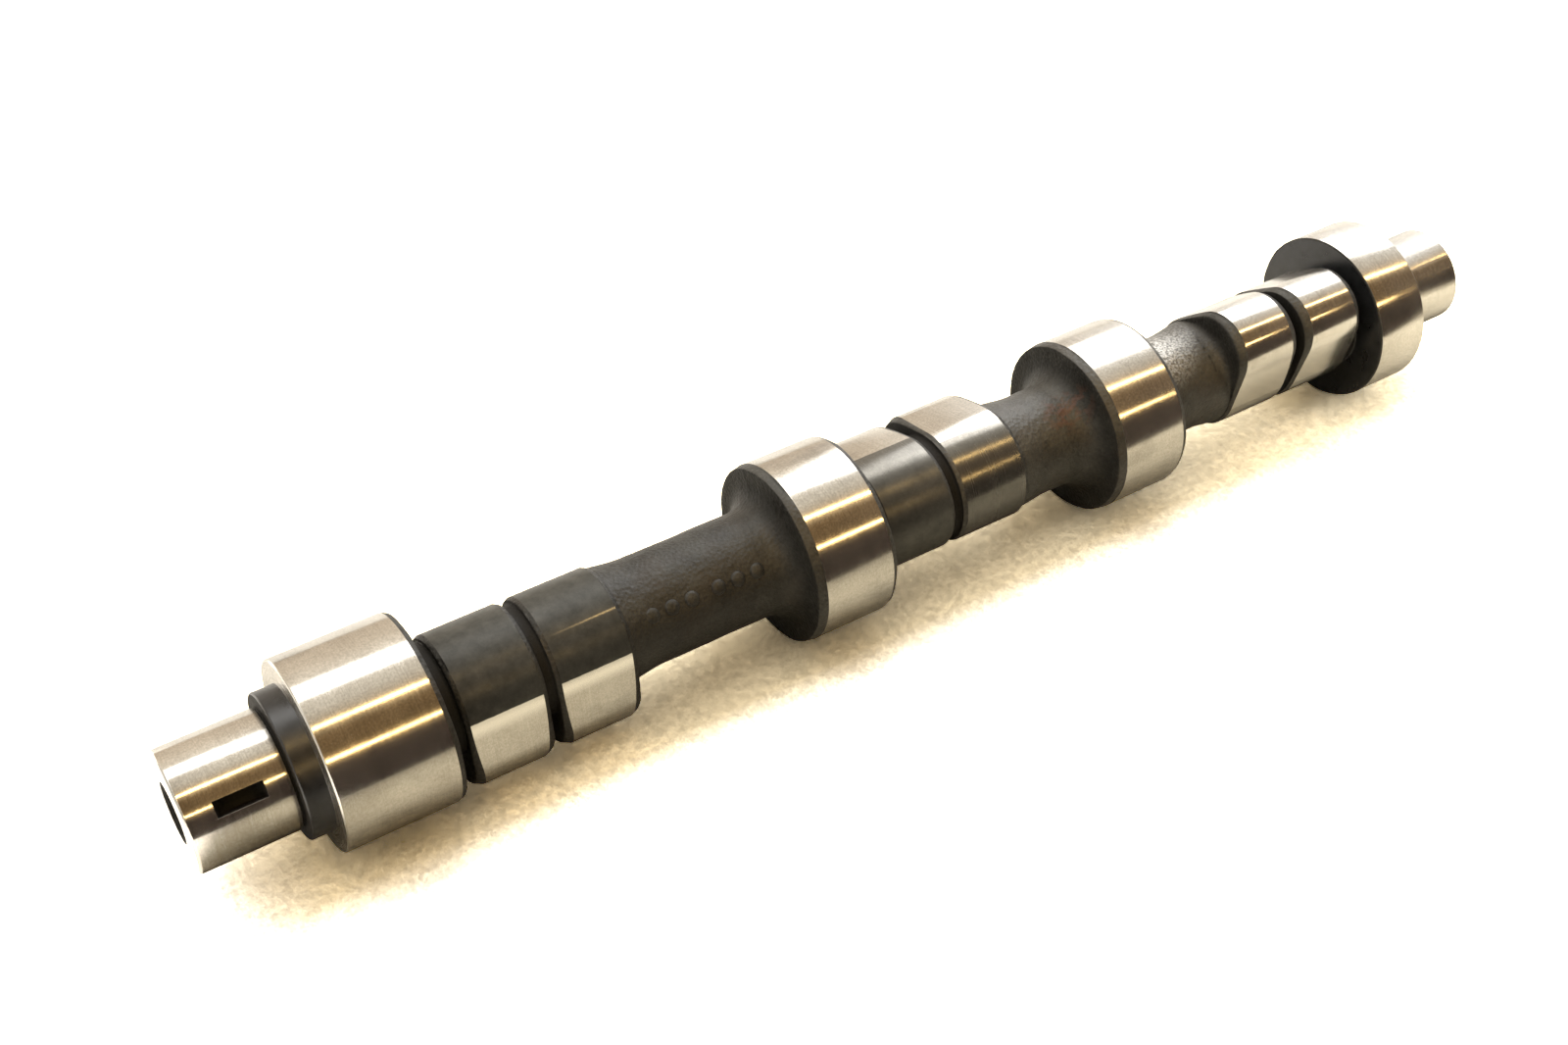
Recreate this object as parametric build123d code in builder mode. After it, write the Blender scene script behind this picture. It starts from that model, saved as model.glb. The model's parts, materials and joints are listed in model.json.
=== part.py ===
from build123d import *

import os
from math import atan2, cos, degrees, radians, sin, sqrt, tan

# Camshaft of a three-cylinder engine with two valves to a cylinder: one iron casting.
# The front nose, the four journals, the rear spigot and the six cam lobes are turned and
# ground. The shaft between them, the collar and the sides of the lobes stay as cast.
# X runs along the shaft from front to rear, Z is up, and the origin is on the axis at the
# middle of the front journal. All sizes are in millimetres and all angles in degrees.

# Bearing journals: one diameter, and a width for each.
journal_diameter = 48.0
front_journal_width = 29.5
second_journal_width = 23.4
third_journal_width = 23.2
rear_journal_width = 16.9

# Edges of the journals: a machined chamfer, or a rim that the grinding left as cast.
machined_edge = 0.4
cast_rim_height = 0.5
short_cast_rim = 1.3
long_cast_rim = 2.5

# Front nose, which the timing gear is fitted on, and the cast collar behind it.
nose_diameter = 30.0
nose_length = 24.2
nose_chamfer = 0.6
undercut_width = 0.8
undercut_depth = 0.7
collar_diameter = 36.4
collar_width = 5.8
collar_edge = 0.5

# Half-round key seat, milled into the nose by a disc cutter.
key_width = 4.0
key_cutter_diameter = 13.0
key_seat_depth = 3.8
key_distance = 12.8
key_angle = 54.2

# Tapped centre hole in the nose, which takes the bolt of the gear.
centre_angle = 60.0
drill_point_angle = 118.0
bolt_drill_diameter = 8.5
bolt_drill_depth = 30.0
bolt_relief_diameter = 10.5
bolt_relief_depth = 6.8
bolt_mouth_diameter = 15.2

# Rear spigot, with the plain centre hole that the shaft was ground on.
spigot_diameter = 27.4
spigot_length = 24.9
spigot_chamfer = 0.7
rear_pilot_diameter = 4.0
rear_pilot_depth = 9.0
rear_mouth_diameter = 8.0

# Cast shaft: the gaps and necks that part the journals from the lobes, and their roots.
shaft_diameter = 28.0
front_gap = 4.5
middle_gap = 3.0
rear_gap = 3.9
long_neck = 46.7
short_neck = 23.7
gap_root = 0.8
neck_root = 6.5
flare_height = 1.0
flare_length = 8.0
flare_blend = 25.0

# Cam lobes: a pair to each cylinder. The cam angles are those of the rear pair, turned
# from straight up towards the near side, and the phases turn the pairs in firing order.
lobe_width = 21.0
lobe_gap = 2.7
base_diameter = 31.4
cam_lift = 7.75
cam_nose_radius = 11.5
cam_flank_radius = 150.0
first_cam_angle = 29.5
second_cam_angle = 33.0
pair_phases = (120.0, -120.0, 0.0)

# What the cast blank of a lobe has over the ground cam, and its sloping edges.
base_allowance = 0.75
tip_allowance = 0.06
blank_edge_width = 2.6
blank_edge_height = 1.3

# Radii that follow from the sizes above.
journal_radius = journal_diameter / 2
nose_radius = nose_diameter / 2
undercut_radius = nose_radius - undercut_depth
collar_radius = collar_diameter / 2
spigot_radius = spigot_diameter / 2
shaft_radius = shaft_diameter / 2
core_radius = shaft_radius + flare_height
base_radius = base_diameter / 2
tip_radius = base_radius + cam_lift

# Places along the shaft, from the front journal to the two ends.
pair_length = 2 * lobe_width + lobe_gap
thrust_face = -front_journal_width / 2
collar_front = thrust_face - collar_width
nose_rear = collar_front - undercut_width
nose_front = nose_rear - nose_length
pair_1_front = thrust_face + front_journal_width + front_gap
journal_2_front = pair_1_front + pair_length + long_neck
pair_2_front = journal_2_front + second_journal_width + middle_gap
journal_3_front = pair_2_front + pair_length + short_neck
pair_3_front = journal_3_front + third_journal_width + short_neck
journal_4_front = pair_3_front + pair_length + rear_gap
spigot_front = journal_4_front + rear_journal_width
spigot_end = spigot_front + spigot_length

chamfered = (machined_edge, machined_edge)
short_rim = (short_cast_rim, cast_rim_height)
long_rim = (long_cast_rim, cast_rim_height)


def sharp(x, radius):
    """A corner of the turned outline with no fillet."""
    return (x, radius, 0)


def journal(front, width, front_edge, rear_edge):
    """Corners over a journal, where each edge is given by its width and its height."""
    rear = front + width
    return [
        sharp(front, journal_radius - front_edge[1]),
        sharp(front + front_edge[0], journal_radius),
        sharp(rear - rear_edge[0], journal_radius),
        sharp(rear, journal_radius - rear_edge[1]),
    ]


def gap(front, length, root):
    """Corners of a narrow gap, whose floor is bevelled into the walls at its ends."""
    rear = front + length
    return [
        sharp(front, shaft_radius + root),
        sharp(front + root, shaft_radius),
        sharp(rear - root, shaft_radius),
        sharp(rear, shaft_radius + root),
    ]


def lobe_core(front):
    """Corners of the core under a pair of lobes, with the gap that parts the two."""
    return [
        sharp(front, core_radius),
        sharp(front + lobe_width, core_radius),
        *gap(front + lobe_width, lobe_gap, min(gap_root, 0.8 * flare_height)),
        sharp(front + lobe_width + lobe_gap, core_radius),
        sharp(front + pair_length, core_radius),
    ]


def neck_to_journal(front, length):
    """Corners of a bare neck that flares from a lobe and is filleted to a journal."""
    flare_foot = (front + flare_length, shaft_radius, flare_blend)
    return [flare_foot, (front + length, shaft_radius, neck_root)]


def neck_to_lobe(front, length):
    """Corners of a bare neck that is filleted to a journal and flares to a lobe."""
    flare_foot = (front + length - flare_length, shaft_radius, flare_blend)
    return [(front, shaft_radius, neck_root), flare_foot]


def centre_hole(face, inward, mouth_diameter, *bores):
    """Corners of a centre hole: each bore, a diameter and its depth, follows a cone."""
    slope = tan(radians(centre_angle / 2))
    corners = [(0, 0), (0, mouth_diameter / 2)]
    for diameter, depth in bores:
        cone_top, cone_radius = corners[-1]
        cone_foot = cone_top + (cone_radius - diameter / 2) / slope
        corners += [(cone_foot, diameter / 2), (depth, diameter / 2)]
    drill_end, drill_radius = corners[-1]
    drill_point = drill_radius / tan(radians(drill_point_angle / 2))
    corners.append((drill_end + drill_point, 0))
    return [(face + inward * depth, radius) for depth, radius in corners]


def radial(angle):
    """Direction across the shaft, turned from straight up towards the near side."""
    return Vector(0, -sin(radians(angle)), cos(radians(angle)))


def cam_section(plane, section_base, section_tip, section_nose):
    """Cam outline of four tangent arcs, with its nose along the plane's own X."""
    nose_centre = section_tip - section_nose
    base_to_flank = cam_flank_radius - section_base
    nose_to_flank = cam_flank_radius - section_nose
    flank_x = (base_to_flank**2 - nose_to_flank**2 + nose_centre**2) / (2 * nose_centre)
    flank_y = sqrt(base_to_flank**2 - flank_x**2)
    base_turn = degrees(atan2(flank_y, -flank_x))
    nose_turn = degrees(atan2(flank_y, nose_centre - flank_x))
    flank_turn = base_turn - nose_turn
    with BuildSketch(plane) as section:
        with BuildLine():
            CenterArc((nose_centre, 0), section_nose, -nose_turn, 2 * nose_turn)
            CenterArc((flank_x, -flank_y), cam_flank_radius, nose_turn, flank_turn)
            CenterArc((0, 0), section_base, base_turn, 360 - 2 * base_turn)
            CenterArc((flank_x, flank_y), cam_flank_radius, -base_turn, flank_turn)
        make_face()
    return section.sketch


def cam_lobe(front, angle):
    """A cast blank with sloping edges, cut down all round to the ground cam."""
    across = Plane(origin=(front, 0, 0), x_dir=radial(angle), z_dir=(1, 0, 0))
    blank_section = cam_section(
        across,
        base_radius + base_allowance,
        tip_radius + tip_allowance,
        cam_nose_radius + tip_allowance,
    )
    ground_section = cam_section(across, base_radius, tip_radius, cam_nose_radius)
    with BuildPart() as lobe:
        extrude(blank_section, amount=lobe_width)
        for place in (0, -1):
            side = faces().sort_by(Axis.X)[place]
            chamfer(side.edges(), blank_edge_height, blank_edge_width, reference=side)
        extrude(ground_section, amount=lobe_width, mode=Mode.INTERSECT)
    return lobe.part


lobes = []
for pair_front, phase in zip((pair_1_front, pair_2_front, pair_3_front), pair_phases):
    lobes.append(cam_lobe(pair_front, first_cam_angle + phase))
    lobes.append(cam_lobe(pair_front + lobe_width + lobe_gap, second_cam_angle + phase))

# Outline of all that is turned on the axis, from front to rear, as corners of
# (place along the shaft, radius, fillet).
turned_outline = [
    sharp(nose_front, 0),
    sharp(nose_front, nose_radius - nose_chamfer),
    sharp(nose_front + nose_chamfer, nose_radius),
    sharp(nose_rear, nose_radius),
    sharp(nose_rear, undercut_radius),
    sharp(collar_front, undercut_radius),
    sharp(collar_front, collar_radius - collar_edge),
    sharp(collar_front + collar_edge, collar_radius),
    sharp(thrust_face, collar_radius),
    *journal(thrust_face, front_journal_width, chamfered, short_rim),
    *gap(pair_1_front - front_gap, front_gap, gap_root),
    *lobe_core(pair_1_front),
    *neck_to_journal(pair_1_front + pair_length, long_neck),
    *journal(journal_2_front, second_journal_width, long_rim, short_rim),
    *gap(pair_2_front - middle_gap, middle_gap, gap_root),
    *lobe_core(pair_2_front),
    *neck_to_journal(pair_2_front + pair_length, short_neck),
    *journal(journal_3_front, third_journal_width, long_rim, short_rim),
    *neck_to_lobe(pair_3_front - short_neck, short_neck),
    *lobe_core(pair_3_front),
    *gap(journal_4_front - rear_gap, rear_gap, gap_root),
    *journal(journal_4_front, rear_journal_width, chamfered, chamfered),
    sharp(spigot_front, spigot_radius),
    sharp(spigot_end - spigot_chamfer, spigot_radius),
    sharp(spigot_end, spigot_radius - spigot_chamfer),
    sharp(spigot_end, 0),
]
outline_points = [(x, radius) for x, radius, fillet in turned_outline]
outline_fillets = [fillet for x, radius, fillet in turned_outline]

bolt_relief = (bolt_relief_diameter, bolt_relief_depth)
bolt_drill = (bolt_drill_diameter, bolt_drill_depth)
rear_pilot = (rear_pilot_diameter, rear_pilot_depth)
bolt_hole = centre_hole(nose_front, 1, bolt_mouth_diameter, bolt_relief, bolt_drill)
rear_centre = centre_hole(spigot_end, -1, rear_mouth_diameter, rear_pilot)

with BuildPart() as camshaft:
    # Turned body.
    with BuildSketch(Plane.XZ):
        with BuildLine():
            FilletPolyline(*outline_points, radius=outline_fillets, close=True)
        make_face()
    revolve(axis=Axis.X)

    # Cam lobes.
    for lobe in lobes:
        add(lobe)

    # Key seat: the cutter's disc stands in the plane of the key, along the shaft.
    key_plane = Plane(
        origin=(nose_front + key_distance, 0, 0),
        x_dir=(1, 0, 0),
        z_dir=Vector(1, 0, 0).cross(radial(key_angle)),
    )
    with BuildSketch(key_plane):
        with Locations((0, nose_radius - key_seat_depth + key_cutter_diameter / 2)):
            Circle(key_cutter_diameter / 2)
    extrude(amount=key_width / 2, both=True, mode=Mode.SUBTRACT)

    # Centre holes at the two ends.
    for hole in (bolt_hole, rear_centre):
        with BuildSketch(Plane.XZ):
            with BuildLine():
                Polyline(*hole, close=True)
            make_face()
        revolve(axis=Axis.X, mode=Mode.SUBTRACT)

camshaft.part.label = "camshaft"
os.makedirs("parts", exist_ok=True)
export_step(camshaft.part, "parts/camshaft.step")
print("length", round(spigot_end - nose_front, 2), "solids", len(camshaft.part.solids()))
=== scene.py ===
# %% [markdown]
# # A camshaft: one iron casting, turned and ground, on a pale table
# The shaft is cast in grey iron with its lobes already on it. The bearing journals, the
# cam faces, the front nose and the rear spigot are then cut bright, and all between
# them keeps its black, sandy casting skin. The CAD model gives the sizes and the place.
# It is loaded first, and the dressed mesh is built round the same axis: X runs from the
# front nose to the rear spigot, Z is up, and the origin is inside the front journal.

# %% Load the CAD model
import json
import math

import bmesh
import bpy
from mathutils import Matrix, Vector, noise

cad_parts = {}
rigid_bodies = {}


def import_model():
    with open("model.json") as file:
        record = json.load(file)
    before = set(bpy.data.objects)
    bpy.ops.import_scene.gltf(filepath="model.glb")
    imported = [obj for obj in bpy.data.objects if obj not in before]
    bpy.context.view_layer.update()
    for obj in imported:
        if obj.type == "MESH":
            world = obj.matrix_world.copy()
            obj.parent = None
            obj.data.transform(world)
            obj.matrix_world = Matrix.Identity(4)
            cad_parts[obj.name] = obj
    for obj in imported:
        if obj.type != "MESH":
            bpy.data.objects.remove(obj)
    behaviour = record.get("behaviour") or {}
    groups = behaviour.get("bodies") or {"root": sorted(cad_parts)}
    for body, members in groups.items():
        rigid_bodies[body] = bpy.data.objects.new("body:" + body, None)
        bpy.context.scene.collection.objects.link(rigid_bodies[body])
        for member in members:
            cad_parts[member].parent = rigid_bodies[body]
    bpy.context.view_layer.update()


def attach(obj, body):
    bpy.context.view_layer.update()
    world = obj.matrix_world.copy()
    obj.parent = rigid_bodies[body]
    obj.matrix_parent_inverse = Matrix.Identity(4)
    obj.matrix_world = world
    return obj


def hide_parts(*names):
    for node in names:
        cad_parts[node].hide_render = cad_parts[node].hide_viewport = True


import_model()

MM = 0.001

# %% [markdown]
# ## The camera
# A long, thin part looks best from one end and above, where every journal and lobe is
# in sight. The lens is a slightly long one, so that the far end looks only a little
# smaller. The camera is placed first, because the light is judged by it.

# %% Camera
CAMERA_PLACE = Vector((-0.08189, -0.30992, 0.34003))
CAMERA_AIM = Vector((0.39877, 0.62688, -0.66933))

camera_data = bpy.data.cameras.new("camera")
camera_data.sensor_width = 36.0
camera_data.lens = 45.12
camera = bpy.data.objects.new("camera", camera_data)
camera.location = CAMERA_PLACE
camera.rotation_euler = CAMERA_AIM.to_track_quat("-Z", "Y").to_euler()
bpy.context.scene.collection.objects.link(camera)
bpy.context.scene.camera = camera
print("camera looks down by", round(math.degrees(math.asin(-CAMERA_AIM.z)), 1), "degrees")

# %% [markdown]
# ## Sizes
# These are the drawing's own sizes, in millimetres. Everything along the shaft is a
# chain that starts at the front journal, so a place is the one before it plus a width.

# %% Sizes along the shaft
JOURNAL, NOSE, UNDERCUT, COLLAR, SPIGOT = 24.0, 15.0, 14.3, 18.2, 13.7
SHAFT, CORE = 14.0, 15.0
LOBE_WIDTH, LOBE_GAP = 21.0, 2.7
PAIR = 2 * LOBE_WIDTH + LOBE_GAP

thrust_face = -14.75
collar_front = thrust_face - 5.8
nose_rear = collar_front - 0.8
nose_front = nose_rear - 24.2
front_rear = 14.75
pair_1 = front_rear + 4.5
second_front = pair_1 + PAIR + 46.7
second_rear = second_front + 23.4
pair_2 = second_rear + 3.0
third_front = pair_2 + PAIR + 23.7
third_rear = third_front + 23.2
pair_3 = third_rear + 23.7
rear_front = pair_3 + PAIR + 3.9
rear_rear = rear_front + 16.9
spigot_end = rear_rear + 24.9
print("length, mm:", round(spigot_end - nose_front, 1))

# %% [markdown]
# ## The finishes
# The mesh has to know how each stretch of the outline was made. Most are as cast, ground
# or turned, the cams are ground and then partly coated, and the holes are drilled and
# painted nearly black inside, as shade. The narrow gaps and the undercut are painted
# near-black, as shade, and the collar and the front wall of the rear journal are turned
# and blued. A stretch carries the number of its finish, and this becomes the number of
# the material slot of the faces that it sweeps.

# %% Finish numbers
FINISH_NAMES = [
    "cast_skin", "ground_iron", "ground_cam", "turned_iron", "painted_hole_shade", "painted_gap_shade",
    "blued_face",
]
CAST, GROUND, CAM, TURNED, BORED, SHADED, BLUED = range(len(FINISH_NAMES))
print("finishes:", FINISH_NAMES)

# %% [markdown]
# ## The half section
# A lathe part is a line spun about an axis. The line is written as corners: the place
# along the shaft, the radius, how far the corner's rounding reaches, and the finish of
# the stretch that follows. A lobe isn't round, so its corners are written for a height
# of the cam from 0, at its back, to 1, at its nose, and the spun rings are moved later.
# The cast edge of a lobe slopes, and the grinding cuts it further back where the blank
# has less iron to spare, so the edge is narrow at the back and wide at the nose. The
# roots against a lobe grow with its height too, since there is hardly a wall at its back.
# The two holes are lists of depth and radius, measured from their own end of the shaft.

# %% Corners of the half section
BASE, LIFT = 15.7, 7.75
EDGE_BASE, EDGE_NOSE, EDGE_SLOPE = 15.15, 22.21, 2.0
NO_ROOT, ROOT, WIDE_ROOT, NECK_ROOT = 0.06, 0.9, 3.0, 6.5
FLARE, FLARE_BLEND = 8.0, 1.5
SOFT_EDGE, RIM_EDGE = {CAST: 0.22, TURNED: 0.1}, 0.08
LOBE_EDGE, CAM_EDGE = 0.5, 0.1
CHAMFER, SHORT_RIM, LONG_RIM = (0.4, 0.4), (1.3, 0.5), (2.5, 0.5)
NOSE_CHAMFER, COLLAR_CHAMFER, SPIGOT_CHAMFER = 0.6, 0.35, 0.7
MOUTH, COUNTERSINK, RELIEF, REAR_MOUTH = 7.6, 4.07, 5.25, 4.0
FRONT_HOLE = [
    (32.55, 0), (30.0, 4.25), (28.2, 4.25), (27.4, 5.0), (7.25, 5.0), (6.8, RELIEF),
]
REAR_HOLE = [(3.46, 2.0), (9.0, 2.0), (10.2, 0)]


def between(low, high, share):
    """The value that lies this share of the way from low to high."""
    return low + (high - low) * share


def journal(front, rear, front_rim, rear_rim, front_finish, rear_finish, side):
    """Corners over a journal. A rim is the width and height of its sloping edge."""
    return [
        (front, JOURNAL - front_rim[1], SOFT_EDGE[front_finish], front_finish),
        (front + front_rim[0], JOURNAL, RIM_EDGE, GROUND),
        (rear - rear_rim[0], JOURNAL, RIM_EDGE, rear_finish),
        (rear, JOURNAL - rear_rim[1], SOFT_EDGE[rear_finish], side),
    ]


def lobe(front, height):
    """Corners over one lobe: cast edge, ground face, cast edge."""
    rear = front + LOBE_WIDTH
    edge = between(EDGE_BASE, EDGE_NOSE, height)
    face = BASE + LIFT * height
    slope = EDGE_SLOPE * (face - edge)
    soft = between(NO_ROOT, LOBE_EDGE, height)
    return [
        (front, edge, soft, CAST),
        (front + slope, face, CAM_EDGE, CAM),
        (rear - slope, face, CAM_EDGE, CAST),
        (rear, edge, soft, CAST),
    ]


def gap(front, rear, wall=CAST):
    """Corners of a narrow gap with round roots and a bottom painted near-black as shade.
    Its rear wall may have its own finish.
    """
    return [(front, SHAFT, ROOT, SHADED), (rear, SHAFT, ROOT, wall)]


def second_lobe(front):
    """Where the second lobe of a pair starts, from where the first one does."""
    return front + LOBE_WIDTH + LOBE_GAP


def lobe_pair(front, height):
    """Corners over the two lobes of a cylinder and the gap that parts them."""
    second = second_lobe(front)
    slit = gap(second - LOBE_GAP, second, wall=SHADED)
    return lobe(front, height) + slit + lobe(second, height)


def outline(height):
    """Corners of the whole half section, from the front hole's end to the rear one's."""
    root, wide_root = between(NO_ROOT, ROOT, height), between(NO_ROOT, WIDE_ROOT, height)
    return [
        # The front hole and its countersink take the hole finish, painted nearly black as
        # shade.
        *[(nose_front + depth, radius, 0, BORED) for depth, radius in FRONT_HOLE],
        (nose_front + COUNTERSINK, RELIEF, 0.1, BORED),
        (nose_front, MOUTH, 0.15, TURNED),
        (nose_front, NOSE - NOSE_CHAMFER, 0.12, TURNED),
        (nose_front + NOSE_CHAMFER, NOSE, 0.12, GROUND),
        # The undercut groove takes the gaps' painted near-black shade.
        (nose_rear, NOSE, 0.1, SHADED),
        (nose_rear, UNDERCUT, 0.2, SHADED),
        (collar_front, UNDERCUT, 0.2, SHADED),
        (collar_front, COLLAR - COLLAR_CHAMFER, 0.1, BLUED),
        (collar_front + COLLAR_CHAMFER, COLLAR, 0.1, BLUED),
        (thrust_face, COLLAR, 0.3, TURNED),
        *journal(thrust_face, front_rear, CHAMFER, SHORT_RIM, TURNED, CAST, CAST),
        *gap(front_rear, pair_1),
        *lobe_pair(pair_1, height),
        (pair_1 + PAIR, CORE, root, CAST),
        (pair_1 + PAIR + FLARE, SHAFT, FLARE_BLEND, CAST),
        (second_front, SHAFT, NECK_ROOT, CAST),
        *journal(second_front, second_rear, LONG_RIM, SHORT_RIM, CAST, CAST, CAST),
        *gap(second_rear, pair_2),
        *lobe_pair(pair_2, height),
        (pair_2 + PAIR, CORE, root, CAST),
        (pair_2 + PAIR + FLARE, SHAFT, FLARE_BLEND, CAST),
        (third_front, SHAFT, NECK_ROOT, CAST),
        *journal(third_front, third_rear, LONG_RIM, SHORT_RIM, CAST, CAST, CAST),
        (third_rear, SHAFT, NECK_ROOT, CAST),
        (pair_3 - FLARE, SHAFT, FLARE_BLEND, CAST),
        (pair_3, CORE, wide_root, CAST),
        *lobe_pair(pair_3, height),
        *gap(pair_3 + PAIR, rear_front, wall=BLUED),
        *journal(rear_front, rear_rear, CHAMFER, CHAMFER, CAST, TURNED, TURNED),
        (rear_rear, SPIGOT, 0.15, GROUND),
        (spigot_end - SPIGOT_CHAMFER, SPIGOT, 0.12, TURNED),
        (spigot_end, SPIGOT - SPIGOT_CHAMFER, 0.12, TURNED),
        (spigot_end, REAR_MOUTH, 0.12, TURNED),
        *[(spigot_end - depth, radius, 0, BORED) for depth, radius in REAR_HOLE],
    ]


print("corners in the half section:", len(outline(0)))

# %% [markdown]
# ## Rounding the corners
# A bevel of a vertex on a bare chain of edges turns a sharp corner into an arc. That is
# the fillet of a casting's root and the broken edge of a machined rim, from one tool.
# The rough stretches are then divided, because the casting's unevenness needs vertices
# to move. Both heights of the section are made side by side and divided alike, so that
# each vertex of the one has its partner in the other.

# %% Two chains, for the back and the nose of the cams
CAST_SPACING, BIG_ARC, TIE = 2.0, 2.0, 1e-6


def arc_steps(reach):
    """How many edges a round corner takes, from how far its rounding reaches."""
    if reach > BIG_ARC:
        return 9
    return 4 if reach >= ROOT else 2


def chain_of(height):
    """The outline at this cam height as a chain of edges with rounded corners."""
    chain = bmesh.new()
    corners = outline(height)
    points = [chain.verts.new((x * MM, 0, r * MM)) for x, r, _, _ in corners]
    for start, end in zip(points, points[1:]):
        chain.edges.new((start, end))
    for point, (_, _, reach, _), (_, _, full_reach, _) in zip(points, corners, outline(1)):
        if reach:
            bmesh.ops.bevel(
                chain, geom=[point], offset=reach * MM, offset_type="OFFSET",
                segments=arc_steps(full_reach), profile=0.5, affect="VERTICES",
                material=-1,
            )
    return chain


def in_order(chain):
    """The vertices of a chain, walked from its front end."""
    ends = [v for v in chain.verts if len(v.link_edges) == 1]
    walk = [min(ends, key=lambda v: v.co.x if v.co.x < 0 else 1)]
    edge = walk[0].link_edges[0]
    while True:
        walk.append(edge.other_vert(walk[-1]))
        onward = [e for e in walk[-1].link_edges if e != edge]
        if not onward:
            return walk
        edge = onward[0]


def nearest_finish(point, corners):
    """The finish of the sharp outline's nearest stretch, the first of them in a tie."""
    place = Vector((point.x / MM, point.z / MM))
    nearest = None
    for (x0, r0, _, finish), (x1, r1, _, _) in zip(corners, corners[1:]):
        start, along = Vector((x0, r0)), Vector((x1 - x0, r1 - r0))
        share = (place - start).dot(along) / along.length_squared
        gone = (place - start - along * min(1.0, max(0.0, share))).length
        if nearest is None or gone < nearest[0] - TIE:
            nearest = (gone, finish)
    return nearest[1]


def divide(chains):
    """Cuts the long rough edges of both chains into as many parts."""
    walks = [in_order(chain) for chain in chains]
    corners = outline(1)
    pairs = [
        [bm.edges.get((a, b)) for bm, (a, b) in zip(chains, stretch)]
        for stretch in zip(*[list(zip(walk, walk[1:])) for walk in walks])
    ]
    for edges in pairs:
        middle = sum((v.co for v in edges[1].verts), Vector()) / 2
        if nearest_finish(middle, corners) != CAST:
            continue
        longest = max(edge.calc_length() for edge in edges)
        cuts = math.ceil(longest / (CAST_SPACING * MM)) - 1
        if cuts > 0:
            for bm, edge in zip(chains, edges):
                bmesh.ops.subdivide_edges(bm, edges=[edge], cuts=cuts)


chains = [chain_of(0), chain_of(1)]
divide(chains)
back_line, nose_line = [[v.co.copy() for v in in_order(chain)] for chain in chains]
finish_of = [
    nearest_finish((a + b) / 2, outline(1)) for a, b in zip(nose_line, nose_line[1:])
]
print("rings to spin:", len(back_line), "and", len(nose_line))

# %% [markdown]
# ## Spinning the section
# The chain for the backs of the cams is spun once round the shaft, as on a lathe. Each
# vertex first notes its number in the chain, in a layer that the spin copies, so every
# vertex of the spun mesh still knows which ring it belongs to.

# %% Spin
TURN_STEPS, SAME_PLACE = 224, 1e-6

shaft = chains[0]
ring_layer = shaft.verts.layers.int.new("ring")
for number, vertex in enumerate(in_order(shaft)):
    vertex[ring_layer] = number
bmesh.ops.spin(
    shaft, geom=list(shaft.verts) + list(shaft.edges), cent=(0, 0, 0), axis=(1, 0, 0),
    dvec=(0, 0, 0), angle=2 * math.pi, steps=TURN_STEPS, use_merge=True,
    use_duplicate=False,
)
bmesh.ops.remove_doubles(shaft, verts=shaft.verts, dist=SAME_PLACE)
bmesh.ops.recalc_face_normals(shaft, faces=shaft.faces)
chains[1].free()
for face in shaft.faces:
    rings = [vertex[ring_layer] for vertex in face.verts]
    face.material_index = finish_of[min(rings)]
    face.smooth = True
print("spun faces:", len(shaft.faces))

# %% [markdown]
# ## Turning rings into cams
# A cam is four arcs that touch without a corner: the base circle, two nearly flat
# flanks, and the nose. The distance from the shaft's axis to that outline is worked out
# for each direction. A ring of a lobe is then moved from its place at the cam's back
# towards its place at the nose by the lift in that direction, which shapes the ground
# face, the sloping edge and the round root all at once.
#
# A lobe's row says where its nose points, in degrees from straight up towards the near
# side, how much coat its back has kept on top and on the near side, and how many
# degrees from the nose the coat has its edge. The mesh notes the coat, how far into it
# a vertex lies, and the follower's polish. On its rear half, the second lobe's coat is
# thinned along the one line where a lamp's streak is mirrored: a painted reflection.

# %% Cams
NOSE_RADIUS, FLANK_RADIUS = 11.5, 150.0
LOBES = {
    pair_1: (149.5, 1.0, 1.0, 72.7),
    second_lobe(pair_1): (153.0, 1.0, 1.0, 78.3),
    pair_2: (-90.5, 0.84, 0.96, 72.5),
    second_lobe(pair_2): (-87.0, 0.70, 0.84, 93.0),
    pair_3: (29.5, 0.25, 0.25, 74.0),
    second_lobe(pair_3): (33.0, 0.0, 0.25, 74.0),
}
TOP_TO_NEAR = (8.0, 22.0)
STREAK_LOBE, STREAK_PAST = second_lobe(pair_1), 10.0
STREAK_ANGLE, STREAK_REACH, STREAK_THINNING = 30.5, 1.0, 0.14
POLISH_RISE, POLISH_FALL, FALL_SHARE = (-17.0, -8.0), (-5.0, -1.0), 0.4
REAR_POLISH, REAR_POLISH_RISE = 0.9, (58.0, 68.0)
STILL, LOBE_MARGIN = 1e-7, 2 * MM
nose_centre = BASE + LIFT - NOSE_RADIUS
base_side, nose_side = FLANK_RADIUS - BASE, FLANK_RADIUS - NOSE_RADIUS
flank_x = (base_side**2 - nose_side**2 + nose_centre**2) / (2 * nose_centre)
flank_y = math.sqrt(base_side**2 - flank_x**2)
base_meets = math.atan2(flank_y, -flank_x)
nose_turn = math.atan2(flank_y, nose_centre - flank_x)
nose_meets = math.atan2(
    NOSE_RADIUS * math.sin(nose_turn), nose_centre + NOSE_RADIUS * math.cos(nose_turn)
)


def reach_of_arc(turn, centre_x, centre_y, radius):
    """How far the ray at this turn runs until it leaves a circle."""
    along = centre_x * math.cos(turn) + centre_y * math.sin(turn)
    aside = centre_x * math.sin(turn) - centre_y * math.cos(turn)
    return along + math.sqrt(radius**2 - aside**2)


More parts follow.
